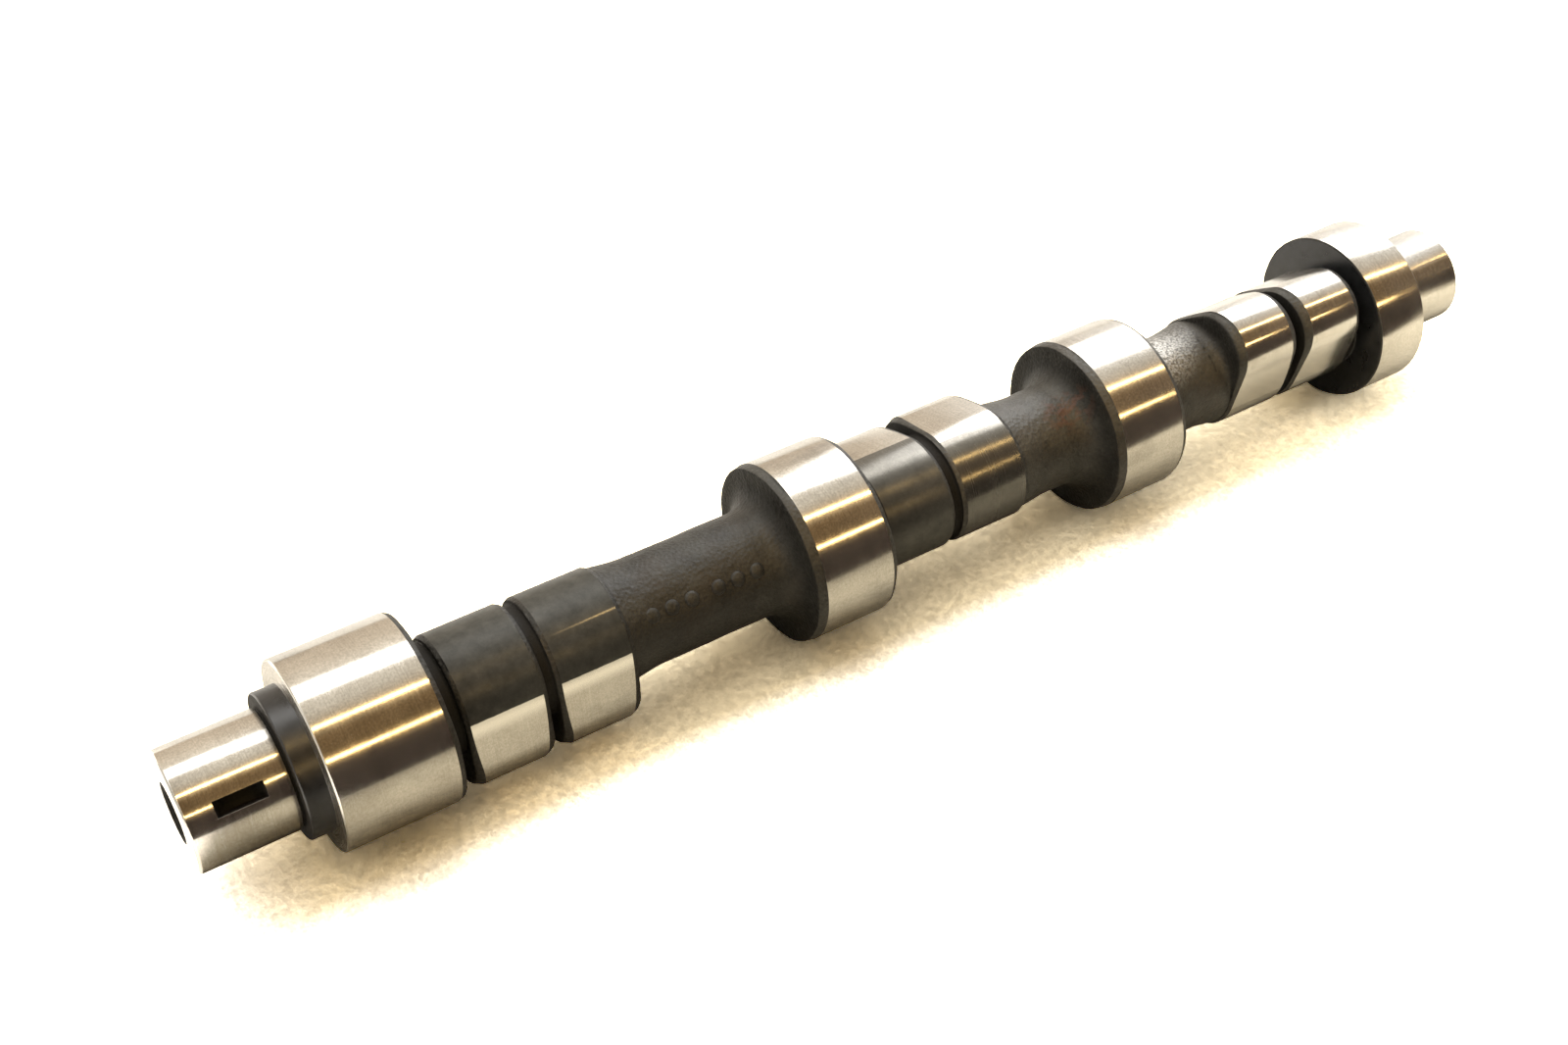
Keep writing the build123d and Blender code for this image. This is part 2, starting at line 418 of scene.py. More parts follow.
def lift_share(turn):
    """The lift at this turn from the cam's nose, from 0 at the base circle to 1."""
    turn = abs((turn + math.pi) % (2 * math.pi) - math.pi)
    if turn >= base_meets:
        return 0.0
    if turn <= nose_meets:
        radius = reach_of_arc(turn, nose_centre, 0, NOSE_RADIUS)
    else:
        radius = reach_of_arc(turn, flank_x, -flank_y, FLANK_RADIUS)
    return (radius - BASE) / LIFT


def turn_of(point):
    """Angle of a point round the shaft, from straight up towards the near side."""
    return math.atan2(-point.y, point.z)


def rise(value, low, high):
    """0 below low, 1 above high, and even between them."""
    return min(1.0, max(0.0, (value - low) / (high - low)))


def polish_at(front, degrees, past):
    """How polished a cam is, from 0 to 1, at this turn and this far into its coat."""
    if front < pair_2:
        return rise(past, *POLISH_RISE) * (1 - FALL_SHARE * rise(past, *POLISH_FALL))
    return REAR_POLISH * rise(degrees, *REAR_POLISH_RISE) if front >= pair_3 else 0.0


coat_layer = shaft.verts.layers.float.new("coat")
polish_layer = shaft.verts.layers.float.new("polish")
from_edge_layer = shaft.verts.layers.float.new("degrees_from_edge")
moved = 0
for vertex in shaft.verts:
    ring = vertex[ring_layer]
    back, nose = back_line[ring], nose_line[ring]
    if (nose - back).length < STILL:
        continue
    front = max(f for f in LOBES if back.x >= f * MM - LOBE_MARGIN)
    angle, coat_top, coat_near, coat_edge = LOBES[front]
    turn = turn_of(vertex.co)
    from_nose = (math.degrees(turn) - angle + 180) % 360 - 180
    share = lift_share(math.radians(from_nose))
    place = back.lerp(nose, share)
    vertex.co = (place.x, -place.z * math.sin(turn), place.z * math.cos(turn))
    degrees, past = math.degrees(turn), abs(from_nose) - coat_edge
    # Painted reflection: the coat is thinned where a lamp's streak is mirrored on the
    # second lobe.
    streak_line = front == STREAK_LOBE and back.x > (front + STREAK_PAST) * MM
    streak_line = streak_line and abs(degrees - STREAK_ANGLE) < STREAK_REACH
    coat = between(coat_top, coat_near, rise(degrees, *TOP_TO_NEAR))
    vertex[coat_layer] = coat - STREAK_THINNING if streak_line else coat
    vertex[polish_layer] = polish_at(front, degrees, past)
    vertex[from_edge_layer] = past
    moved += 1
print("vertices moved for the six lobes:", moved)

# %% [markdown]
# ## The uneven skin of the casting
# Nothing that comes out of a sand or shell mould is quite straight. Every vertex that
# has only rough faces round it moves away from the axis and along it, each by its own
# smooth noise of about a tenth of a millimetre. Both change slowly from place to place,
# so that even a tight root doesn't fold. The ground faces stay true, so their edges
# against the skin stay crisp. The walls that look along the shaft get painted shade, so
# the mesh then notes how squarely each looks along it, a little less on the near side.

# %% Cast unevenness
WAVE, SWELL = 9.0, 0.16
QUICK_WAVE, QUICK_SWELL, QUICK_PLACE = 0.3, 0.45, (7, 3, 5)
LENGTHWISE_SHIFT = 40
NEAR_SIDE, NEAR_SIDE_WALL_SHADE = (10.0, 50.0), 0.72


def wave_at(point, shift=0):
    """The height of the unevenness at a point, in millimetres."""
    x, y, z = QUICK_PLACE
    slow = noise.noise(point / (WAVE * MM) + Vector((shift, 0, 0)))
    quick = noise.noise(point / (WAVE * QUICK_WAVE * MM) + Vector((x + shift, y, z)))
    return (slow + QUICK_SWELL * quick) * SWELL


rough = [v for v in shaft.verts if all(f.material_index == CAST for f in v.link_faces)]
for vertex in rough:
    outward = Vector((0, vertex.co.y, vertex.co.z)).normalized()
    lengthwise = Vector((wave_at(vertex.co, LENGTHWISE_SHIFT), 0, 0))
    vertex.co += (outward * wave_at(vertex.co) + lengthwise) * MM
shaft.normal_update()
wall_shade_layer = shaft.verts.layers.float.new("wall_shade")
for vertex in shaft.verts:
    near_side = rise(math.degrees(turn_of(vertex.co)), *NEAR_SIDE)
    vertex[wall_shade_layer] = abs(vertex.normal.x) * between(1.0, NEAR_SIDE_WALL_SHADE, near_side)
print("rough vertices:", len(rough))

# %% [markdown]
# ## From bmesh to object
# The mesh becomes an object that sits at the origin, unturned and unscaled. Faces that
# meet at more than thirty-two degrees keep a sharp edge, and all others shade as one.

# %% Mesh object
SHARP_ANGLE = math.radians(32)


def object_of(bm, name):
    """Makes an object at the origin from a bmesh, and frees the bmesh."""
    mesh = bpy.data.meshes.new(name)
    bm.to_mesh(mesh)
    bm.free()
    mesh.set_sharp_from_angle(angle=SHARP_ANGLE)
    piece = bpy.data.objects.new(name, mesh)
    bpy.context.scene.collection.objects.link(piece)
    return piece


shaft_piece = object_of(shaft, "camshaft_body")
print("triangles in the body:", sum(len(p.vertices) - 2 for p in shaft_piece.data.polygons))

# %% [markdown]
# ## Node helpers
# A material is a small graph. The helpers below start one with its main shader and add
# a node in a line: its kind, its settings, and its inputs, each a number or a link.
# All patterns read Object coordinates, which are metres on the part, so a noise scale
# of 1000 gives grains of about a millimetre.

# %% Node helpers


def start_material(name):
    """A material with a Principled shader and the part's own coordinates."""
    material = bpy.data.materials.new(name)
    material.use_nodes = True
    tree = material.node_tree
    shader = tree.nodes["Principled BSDF"]
    coordinates = tree.nodes.new("ShaderNodeTexCoord").outputs["Object"]
    return material, tree, shader, coordinates


def add(tree, kind, inputs=None, **settings):
    """Adds a node, sets its settings, and sets or links its inputs."""
    new = tree.nodes.new("ShaderNode" + kind)
    for name, value in settings.items():
        setattr(new, name, value)
    for name, value in (inputs or {}).items():
        if isinstance(value, bpy.types.NodeSocket):
            tree.links.new(value, new.inputs[name])
        else:
            new.inputs[name].default_value = value
    return new


def grain(tree, vector, scale, detail=3.0, roughness=0.55, stretch=None):
    """A noise of this scale. A stretch squeezes it along some of the axes."""
    if stretch:
        vector = add(tree, "Mapping", {"Vector": vector, "Scale": stretch}).outputs[0]
    inputs = {"Vector": vector, "Scale": scale, "Detail": detail, "Roughness": roughness}
    return add(tree, "TexNoise", inputs).outputs["Fac"]


def ramp(tree, factor, *stops):
    """A colour ramp with these (place, colour) stops."""
    new = add(tree, "ValToRGB", {"Fac": factor})
    elements = new.color_ramp.elements
    while len(elements) < len(stops):
        elements.new(0.5)
    for element, (place, colour) in zip(elements, stops):
        element.position = place
        element.color = (*colour, 1.0)
    return new.outputs["Color"]


def span(tree, value, low, high, to_low, to_high):
    """Maps a value from one range to another, and clamps it."""
    limits = {"From Min": low, "From Max": high, "To Min": to_low, "To Max": to_high}
    return add(tree, "MapRange", {"Value": value, **limits}).outputs["Result"]


def blend_colours(tree, factor, first, second):
    """Mixes two colours, each a tuple or a link."""
    new = tree.nodes.new("ShaderNodeMix")
    new.data_type = "RGBA"
    for slot, value in ((0, factor), (6, first), (7, second)):
        if isinstance(value, bpy.types.NodeSocket):
            tree.links.new(value, new.inputs[slot])
        else:
            new.inputs[slot].default_value = (*value, 1.0) if slot else value
    return new.outputs[2]


def maths(tree, operation, *values, clamp=False):
    """The result of a Math node on one value or two."""
    inputs = dict(enumerate(values))
    return add(tree, "Math", inputs, operation=operation, use_clamp=clamp).outputs[0]


def times(tree, first, second):
    """The product of two values, kept between 0 and 1."""
    return maths(tree, "MULTIPLY", first, second, clamp=True)


def scaled(tree, colour, factor):
    """A colour, a tuple or a link, made lighter or darker by a factor."""
    inputs = {0: colour, "Scale": factor}
    return add(tree, "VectorMath", inputs, operation="SCALE").outputs[0]


def noted(tree, name):
    """A value that the mesh carries in a layer."""
    return add(tree, "Attribute", attribute_name=name).outputs["Fac"]


def bumps(tree, height, strength, distance):
    """The normal of a surface with this height pattern."""
    inputs = {"Height": height, "Strength": strength, "Distance": distance}
    return add(tree, "Bump", inputs).outputs[0]


def feed(tree, shader, **inputs):
    """Links or sets inputs of the main shader, with _ for a space in a name."""
    for name, value in inputs.items():
        socket = shader.inputs[name.replace("_", " ")]
        if isinstance(value, bpy.types.NodeSocket):
            tree.links.new(value, socket)
        else:
            socket.default_value = value


def count_nodes(*looks):
    """Prints how many nodes each of these materials has."""
    for look in looks:
        print(look.name, "has", len(look.node_tree.nodes), "nodes")


print("helpers:", [helper.__name__ for helper in (add, grain, ramp, span, bumps, feed)])

# %% [markdown]
# ## The casting skin
# Blasted grey iron under a dark phosphate is nearly black, with a faint warm cast. It
# has a sandy grain of half a millimetre, slow cloudy patches where the coat took
# differently, and here and there a pit. The bump does the grain, and the slow waves are
# already in the mesh. The skin is darker and less glossy towards the front end, and the
# more squarely a wall looks along the shaft, the blacker its painted shade. A small bloom
# of rust sits before the third journal, and behind it pale metal flecks paint a highlight.
# The gaps are painted near-black as shade, and the blued faces have the thin, smooth film
# that heat and oil leave on turned iron.

# %% Cast skin, gaps and blued faces
DARK_SKIN, PALE_SKIN = (0.022, 0.021, 0.019), (0.086, 0.084, 0.073)
BROWN_SKIN, WALL_SHADE_SKIN = (0.060, 0.044, 0.032), (0.008, 0.0075, 0.006)
RUST, RUST_PLACE, RUST_REACH = (0.11, 0.042, 0.022), (199.0, -7.5, 15.0), (2.0, 8.0)
PAINTED_GLINT, PAINTED_GLINT_PLACE, PAINTED_GLINT_REACH = (0.62, 0.61, 0.58), (234.0, 3.0, 16.0), (5.0, 17.0)
FRONT_END, FRONT_TONE, WALL_SHADE_SPAN = (0.095, 0.125), 0.62, (0.3, 0.95)
DARK_GAP_SHADE, PALE_GAP_SHADE = (0.005, 0.0045, 0.004), (0.02, 0.019, 0.017)
DARK_FILM, PALE_FILM = (0.013, 0.0135, 0.015), (0.030, 0.031, 0.034)


def near_place(tree, here, place, reach):
    """1 within the shorter reach of a place on the part, and 0 past the longer one."""
    inputs = {0: here, 1: tuple(value * MM for value in place)}
    gone = add(tree, "VectorMath", inputs, operation="DISTANCE").outputs["Value"]
    return span(tree, gone, reach[0] * MM, reach[1] * MM, 1.0, 0.0)


def cast_skin():
    material, tree, shader, here = start_material("cast_skin")
    cloud = grain(tree, here, 160.0, detail=4.0)
    sand = grain(tree, here, 1500.0, detail=5.0, roughness=0.65)
    pits = add(tree, "TexVoronoi", {"Vector": here, "Scale": 900.0}).outputs["Distance"]
    tone = span(tree, maths(tree, "ADD", cloud, sand), 0.7, 1.35, 0.0, 1.0)
    colour = ramp(tree, tone, (0, DARK_SKIN), (1, PALE_SKIN))
    haze = span(tree, grain(tree, here, 110.0, detail=5.0), 0.5, 0.72, 0.0, 0.5)
    colour = blend_colours(tree, haze, colour, BROWN_SKIN)
    # The skin is darker and less glossy towards the front end.
    place = add(tree, "SeparateXYZ", {"Vector": here}).outputs["X"]
    dip = span(tree, place, *FRONT_END, FRONT_TONE, 1.0)
    colour = scaled(tree, colour, dip)
    wall_shade = noted(tree, "wall_shade")
    # Painted shade: the more squarely a wall looks along the shaft, the nearer black and
    # the less glossy its skin.
    wall = span(tree, wall_shade, *WALL_SHADE_SPAN, 0.0, 0.78)
    colour = blend_colours(tree, wall, colour, WALL_SHADE_SKIN)
    bloom = near_place(tree, here, RUST_PLACE, RUST_REACH)
    spots = span(tree, grain(tree, here, 420.0, detail=5.0), 0.46, 0.58, 0.0, 1.0)
    colour = blend_colours(tree, times(tree, bloom, spots), colour, RUST)
    # Painted highlight: pale, partly metallic flecks in a patch behind the third journal.
    painted_glint = near_place(tree, here, PAINTED_GLINT_PLACE, PAINTED_GLINT_REACH)
    flecks = span(tree, sand, 0.42, 0.6, 0.15, 1.0)
    colour = blend_colours(tree, times(tree, painted_glint, flecks), colour, PAINTED_GLINT)
    bump = bumps(tree, maths(tree, "ADD", sand, pits), 0.55, 0.00025)
    metallic = span(tree, wall_shade, *WALL_SHADE_SPAN, 0.2, 0.02)
    feed(
        tree, shader, Base_Color=colour, Normal=bump,
        Metallic=maths(tree, "ADD", metallic, times(tree, painted_glint, 0.6)),
        Roughness=span(tree, sand, 0.3, 0.7, 0.4, 0.55),
        Specular_IOR_Level=times(tree, span(tree, wall_shade, *WALL_SHADE_SPAN, 0.7, 0.12), dip),
    )
    return material


# Painted shade for the gaps and the undercut: a near-black skin with little gloss.
def painted_gap_shade():
    material, tree, shader, here = start_material("painted_gap_shade")
    sand = grain(tree, here, 1500.0, detail=4.0, roughness=0.65)
    feed(
        tree, shader, Base_Color=ramp(tree, sand, (0.3, DARK_GAP_SHADE), (0.75, PALE_GAP_SHADE)),
        Metallic=0.0, Normal=bumps(tree, sand, 0.5, 0.0002), Specular_IOR_Level=0.25,
        Roughness=span(tree, sand, 0.3, 0.7, 0.6, 0.8),
    )
    return material


def blued_face():
    material, tree, shader, here = start_material("blued_face")
    film = grain(tree, here, 230.0, detail=5.0)
    lines = grain(tree, here, 60.0, detail=4.0, roughness=0.7, stretch=(60.0, 0.7, 0.7))
    feed(
        tree, shader, Base_Color=ramp(tree, film, (0.3, DARK_FILM), (0.72, PALE_FILM)),
        Metallic=0.25, Normal=bumps(tree, lines, 0.3, 0.00002), Specular_IOR_Level=0.7,
        Roughness=span(tree, film, 0.3, 0.7, 0.26, 0.36),
    )
    return material


skin_look, gap_shade_look, blued_look = cast_skin(), painted_gap_shade(), blued_face()
count_nodes(skin_look, gap_shade_look, blued_look)

# %% [markdown]
# ## Ground iron
# A grinding wheel leaves fine lines round the shaft. Across the lines, which is along
# the shaft, the surface is rough, and along them it is almost a mirror. So a lamp is
# mirrored as a thin, sharp streak, however long the lamp is. The shader's anisotropy
# does this with a tangent that turns about X. The lines themselves are a noise that is
# squeezed along X, and show as a faint ribbing and as small changes in the gloss. Old
# oil leaves dull smudges on it, and the open grain of the iron a fine speckle.

# %% Ground iron
BRIGHT_IRON, DULL_IRON = (0.68, 0.655, 0.61), (0.54, 0.51, 0.465)
ROUND_THE_SHAFT, QUARTER_TURN = {"direction_type": "RADIAL", "axis": "X"}, 0.25


def grinding(tree, here):
    """Colour, roughness and bump of a ground surface."""
    lines = grain(tree, here, 60.0, detail=4.0, roughness=0.7, stretch=(70.0, 0.7, 0.7))
    bands = grain(tree, here, 25.0, detail=2.0, stretch=(14.0, 1.0, 1.0))
    film = grain(tree, here, 75.0, detail=4.0)
    shine = span(tree, maths(tree, "ADD", lines, film), 0.75, 1.25, 0.0, 1.0)
    colour = ramp(tree, shine, (0, DULL_IRON), (1, BRIGHT_IRON))
    smudge = grain(tree, here, 95.0, detail=5.0, roughness=0.6, stretch=(0.4, 1.0, 1.0))
    smudge = span(tree, smudge, 0.54, 0.70, 1.0, 0.76)
    speck = span(tree, grain(tree, here, 1900.0), 0.35, 0.65, 0.9, 1.1)
    colour = scaled(tree, colour, maths(tree, "MULTIPLY", smudge, speck))
    roughness = span(tree, maths(tree, "ADD", lines, bands), 0.7, 1.3, 0.155, 0.215)
    return colour, roughness, bumps(tree, lines, 0.25, 0.00001)


def ground_iron():
    material, tree, shader, here = start_material("ground_iron")
    colour, roughness, bump = grinding(tree, here)
    tangent = add(tree, "Tangent", **ROUND_THE_SHAFT).outputs[0]
    feed(
        tree, shader, Base_Color=colour, Metallic=1.0, Roughness=roughness, Normal=bump,
        Anisotropic=0.85, Anisotropic_Rotation=QUARTER_TURN, Tangent=tangent,
    )
    return material


ground_look = ground_iron()
count_nodes(ground_look)

# %% [markdown]
# ## Ground cams
# The cams are ground like the journals, but the back of a cam never meets its follower.
# On the two front lobes it has kept the dark coat that the whole shaft was dipped in,
# on the middle ones the coat is thinner, and on the rear ones it is nearly gone. The mesh
# carries the coat and the degrees past its edge, so the edge lies just where the lift
# begins, and a fine noise frays it. The cover is multiplied by itself three times, so
# that only a whole coat takes the iron's gloss away, and a thin one is a tinted mirror.

# %% Ground cams
DARK_COAT, PALE_COAT = (0.053, 0.052, 0.045), (0.088, 0.085, 0.074)
POLISHED_IRON = (0.97, 0.95, 0.90)
COAT_EDGE, COAT_ROUGHER = (-0.3, 0.5), 0.28


def ground_cam():
    material, tree, shader, here = start_material("ground_cam")
    colour, roughness, bump = grinding(tree, here)
    tangent = add(tree, "Tangent", **ROUND_THE_SHAFT).outputs[0]
    wobble = maths(tree, "ADD", grain(tree, here, 900.0), -0.5)
    past = maths(tree, "ADD", noted(tree, "degrees_from_edge"), wobble)
    patches = span(tree, grain(tree, here, 220.0, detail=4.0), 0.3, 0.7, 0.985, 1.015)
    coat = times(tree, noted(tree, "coat"), patches)
    cover = thick = times(tree, coat, span(tree, past, *COAT_EDGE, 0.0, 1.0))
    for _ in range(3):
        thick = times(tree, thick, thick)
    iron = blend_colours(tree, noted(tree, "polish"), colour, POLISHED_IRON)
    mottle = grain(tree, here, 330.0, detail=6.0, roughness=0.7)
    coating = ramp(tree, mottle, (0.35, DARK_COAT), (0.68, PALE_COAT))
    feed(
        tree, shader, Base_Color=blend_colours(tree, cover, iron, coating), Normal=bump,
        Metallic=span(tree, thick, 0.0, 1.0, 1.0, 0.06), Anisotropic=0.7,
        Anisotropic_Rotation=QUARTER_TURN, Tangent=tangent,
        Specular_IOR_Level=span(tree, thick, 0.0, 1.0, 0.5, 0.2),
        Roughness=maths(tree, "ADD", roughness, times(tree, thick, COAT_ROUGHER)),
    )
    return material


cam_look = ground_cam()
count_nodes(cam_look)

# %% [markdown]
# ## Turned faces and drilled holes
# The ends, the thrust face and the cones of the centre holes were cut on a lathe. The
# tool's marks there are rings about the axis, so their noise is read by the radius.
# The holes, the front countersink and the key seat are painted nearly black inside, as
# shade.

# %% Turned faces and drilled holes
DARK_HOLE_SHADE, PALE_HOLE_SHADE = (0.005, 0.004, 0.0035), (0.028, 0.024, 0.02)


def turned_iron():
    material, tree, shader, here = start_material("turned_iron")
    across = add(tree, "VectorMath", {0: here, 1: (0.0, 1.0, 1.0)}, operation="MULTIPLY")
    radius = add(tree, "VectorMath", {0: across.outputs[0]}, operation="LENGTH")
    rings = add(
        tree, "TexNoise", {"W": radius.outputs["Value"], "Scale": 4500.0, "Detail": 3.0},
        noise_dimensions="1D",
    ).outputs["Fac"]
    colour = ramp(tree, grain(tree, here, 120.0), (0.3, DULL_IRON), (0.7, BRIGHT_IRON))
    feed(
        tree, shader, Base_Color=colour, Metallic=1.0,
        Normal=bumps(tree, rings, 0.3, 0.00002),
        Roughness=span(tree, rings, 0.3, 0.7, 0.2, 0.32),
    )
    return material


def painted_hole_shade():
    material, tree, shader, here = start_material("painted_hole_shade")
    hole_shade = grain(tree, here, 500.0, detail=4.0)
    feed(
        tree, shader, Base_Color=ramp(tree, hole_shade, (0.35, DARK_HOLE_SHADE), (0.7, PALE_HOLE_SHADE)),
        Metallic=0.1, Normal=bumps(tree, hole_shade, 0.3, 0.00005), Specular_IOR_Level=0.15,
        Roughness=span(tree, hole_shade, 0.3, 0.7, 0.5, 0.7),
    )
    return material


turned_look, hole_shade_look = turned_iron(), painted_hole_shade()
count_nodes(turned_look, hole_shade_look)
finishes = [skin_look, ground_look, cam_look, turned_look, hole_shade_look, gap_shade_look, blued_look]
for finish in finishes:
    shaft_piece.data.materials.append(finish)
print("materials:", [finish.name for finish in finishes])

# %% [markdown]
# ## The key seat
# A half-round key seat is the mark of a disc cutter that was sunk into the nose. So a
# disc of the cutter's size is set in its place and subtracted. The rim that this leaves
# is broken by a small bevel, which catches the light as the filed edge does.

# %% Key seat
KEY_ANGLE = math.radians(54.2)
KEY_WIDTH, CUTTER_RADIUS, SEAT_DEPTH, KEY_PLACE = 4.0, 6.5, 3.8, 12.8
RIM_BREAK = 0.14

outward = Vector((0, -math.sin(KEY_ANGLE), math.cos(KEY_ANGLE)))
along = Vector((1, 0, 0))
cutter_height = NOSE - SEAT_DEPTH + CUTTER_RADIUS
cutter_centre = along * (nose_front + KEY_PLACE) + outward * cutter_height
turned_to_key = Matrix((along, outward, along.cross(outward))).transposed().to_4x4()
cutter = bmesh.new()
bmesh.ops.create_cone(
    cutter, cap_ends=True, cap_tris=False, segments=96, radius1=CUTTER_RADIUS * MM,
    radius2=CUTTER_RADIUS * MM, depth=KEY_WIDTH * MM,
    matrix=Matrix.Translation(cutter_centre * MM) @ turned_to_key,
)
# The key seat's walls take the hole finish, painted nearly black as shade.
for face in cutter.faces:
    face.material_index = BORED
cutter_piece = object_of(cutter, "cutter")
for finish in finishes:
    cutter_piece.data.materials.append(finish)

sink = shaft_piece.modifiers.new("key_seat", "BOOLEAN")
sink.object, sink.operation, sink.solver = cutter_piece, "DIFFERENCE", "EXACT"
graph = bpy.context.evaluated_depsgraph_get()
cut_mesh = bpy.data.meshes.new_from_object(shaft_piece.evaluated_get(graph))
shaft_piece.modifiers.clear()
shaft_piece.data = cut_mesh
bpy.data.objects.remove(cutter_piece)

seat = bmesh.new()
seat.from_mesh(cut_mesh)
rim = [
    edge for edge in seat.edges
    if len(edge.link_faces) == 2
    and sorted(f.material_index for f in edge.link_faces) == [GROUND, BORED]
]
bmesh.ops.bevel(
    seat, geom=rim, offset=RIM_BREAK * MM, offset_type="OFFSET", segments=1, profile=0.5,
    affect="EDGES", material=TURNED, clamp_overlap=True,
)
seat.to_mesh(cut_mesh)
seat.free()
cut_mesh.set_sharp_from_angle(angle=SHARP_ANGLE)
print("rim edges broken:", len(rim))

# %% [markdown]
# ## The thread in the nose
# The bolt of the timing gear screws into the nose. A spin that also moves a step along
# its axis draws a helix, so one small ridge section, spun thirteen times round, is the
# thread. It stands in the drilled wall with its foot just inside the iron.

# %% Thread
PITCH, THREAD_TURNS, THREAD_STEPS, THREAD_START = 1.5, 13, 40, 7.8
RIDGE = [(-0.62, 5.06), (-0.1, 4.28), (0.1, 4.28), (0.62, 5.06)]

thread_start = nose_front + THREAD_START
thread = bmesh.new()
points = [thread.verts.new(((thread_start + x) * MM, 0, r * MM)) for x, r in RIDGE]
for start, end in zip(points, points[1:] + points[:1]):
    thread.edges.new((start, end))
bmesh.ops.spin(
    thread, geom=list(thread.verts) + list(thread.edges), cent=(0, 0, 0), axis=(1, 0, 0),
    dvec=(PITCH * MM / THREAD_STEPS, 0, 0), angle=2 * math.pi * THREAD_TURNS,
    steps=THREAD_STEPS * THREAD_TURNS, use_merge=False, use_duplicate=False,
)
bmesh.ops.holes_fill(thread, edges=[e for e in thread.edges if e.is_boundary])
bmesh.ops.recalc_face_normals(thread, faces=thread.faces)
thread_piece = object_of(thread, "nose_thread")
thread_piece.data.materials.append(finishes[TURNED])
print("thread faces:", len(thread_piece.data.polygons))

# %% [markdown]
# ## Foundry pips
# A founder tells one mould from the next by small round pips that it leaves raised on
# the casting. A row of them stands on the long bare neck. Each is a sphere pressed flat
# towards the shaft and sunk to just past its middle, so only a low dome shows.

# %% Foundry pips
PIP_RADIUS, PIP_HEIGHT, PIP_SUNK = 2.0, 0.95, 0.12
PIP_PLACES = [71.0, 76.5, 82.0, 89.5, 95.0, 100.5]
PIP_ANGLE = math.radians(51.5)

pips = bmesh.new()
pip_out = Vector((0, -math.sin(PIP_ANGLE), math.cos(PIP_ANGLE)))
stand = Matrix((along, along.cross(pip_out) * -1, pip_out)).transposed().to_4x4()
flat = Matrix.Diagonal((1, 1, PIP_HEIGHT / PIP_RADIUS, 1))
for place in PIP_PLACES:
    centre = along * place + pip_out * (SHAFT - PIP_SUNK)
    bmesh.ops.create_uvsphere(
        pips, u_segments=28, v_segments=16, radius=PIP_RADIUS * MM,
        matrix=Matrix.Translation(centre * MM) @ stand @ flat,
    )
for face in pips.faces:
    face.smooth = True
bmesh.ops.recalc_face_normals(pips, faces=pips.faces)
pip_piece = object_of(pips, "foundry_pips")
pip_piece.data.materials.append(finishes[CAST])
print("pips:", len(PIP_PLACES))

# %% [markdown]
# ## One part on one body
# The shaft has no joints, so every piece rides on its one body. The dressed pieces
# stand for the CAD solid, which is hidden.

# %% Tie the pieces to the model
for piece in (shaft_piece, thread_piece, pip_piece):
    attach(piece, "root")
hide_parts("camshaft")
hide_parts("camshaft")
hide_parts("camshaft")
print("pieces:", [piece.name for piece in (shaft_piece, thread_piece, pip_piece)])

# %% [markdown]
# ## The table
# The shaft lies on a cream table that is lit so brightly that it turns white, and only
# its soft shadow keeps the table's colour. The camera sees a table several times as
# pale as the metal does, which makes the white without any more light on the part.
#
# What the metal mirrors is painted light and shade by place on the table: painted shade
# under the shaft, painted pale behind it and brighter than white ahead of its nose, and
# cream on the near side, painted dimmer further off and towards the front end. The camera
# sees cream in the shadow, painted nearly white past its edge and ahead of the nose, and
# a painted contact shadow where a journal touches the table.

# %% Table
FLOOR_HEIGHT = -JOURNAL * MM
TABLE_SIZE, TABLE_MIDDLE = 4.0, 0.15
TO_CAMERA, TO_CAMERA_AWAY = (2.9, 2.62, 1.95), (3.3, 3.25, 3.1)
TO_METAL_NEAR, TO_METAL_BEHIND_LIT = (0.75, 0.69, 0.54), (1.0, 0.98, 0.93)
TO_METAL_AHEAD_LIT, TO_METAL_UNDER_SHADE = (2.3, 2.25, 2.15), (0.22, 0.20, 0.15)
BEHIND, AHEAD = (0.03, 0.07), (-0.0455, -0.0475)
UNDER, UNDER_MIDDLE = (0.014, 0.022), 0.007
FAR_OFF, REARWARD, FRONTWARD = (-0.06, -0.17), (0.14, 0.24), (0.0, -0.03)
FAR_TONE, FRONTWARD_TONE = 0.5, 0.7
PAST_SHADOW, PAST_NOSE = (-0.021, -0.031), (-0.02, -0.045)
CONTACT_SHADOW_PLACES, CONTACT_SHADOW_SIDE, CONTACT_SHADOW_REACH = (0.0, 122.3, 217.0, 309.4), -6.0, (8.0, 24.0)
CONTACT_SHADOW_TONE = 0.62


def metal_sees(tree, lengthwise, across):
    """The colour of the table in a mirror, by its place in metres, with painted light and
    shade.
    """
    behind = span(tree, across, *BEHIND, 0.0, 1.0)
    aside = maths(tree, "ABSOLUTE", maths(tree, "ADD", across, -UNDER_MIDDLE))
    under_shade = span(tree, aside, *UNDER, 1.0, 0.0)
    ahead = span(tree, lengthwise, *AHEAD, 0.0, 1.0)
    far_off = span(tree, across, *FAR_OFF, 1.0, FAR_TONE)
    rearward = span(tree, lengthwise, *REARWARD, 0.0, 1.0)
    dim = maths(tree, "MAXIMUM", far_off, rearward)
    dim = times(tree, dim, span(tree, lengthwise, *FRONTWARD, 1.0, FRONTWARD_TONE))
    colour = blend_colours(tree, behind, scaled(tree, TO_METAL_NEAR, dim), TO_METAL_BEHIND_LIT)
    colour = blend_colours(tree, under_shade, colour, TO_METAL_UNDER_SHADE)
    return blend_colours(tree, ahead, colour, TO_METAL_AHEAD_LIT)


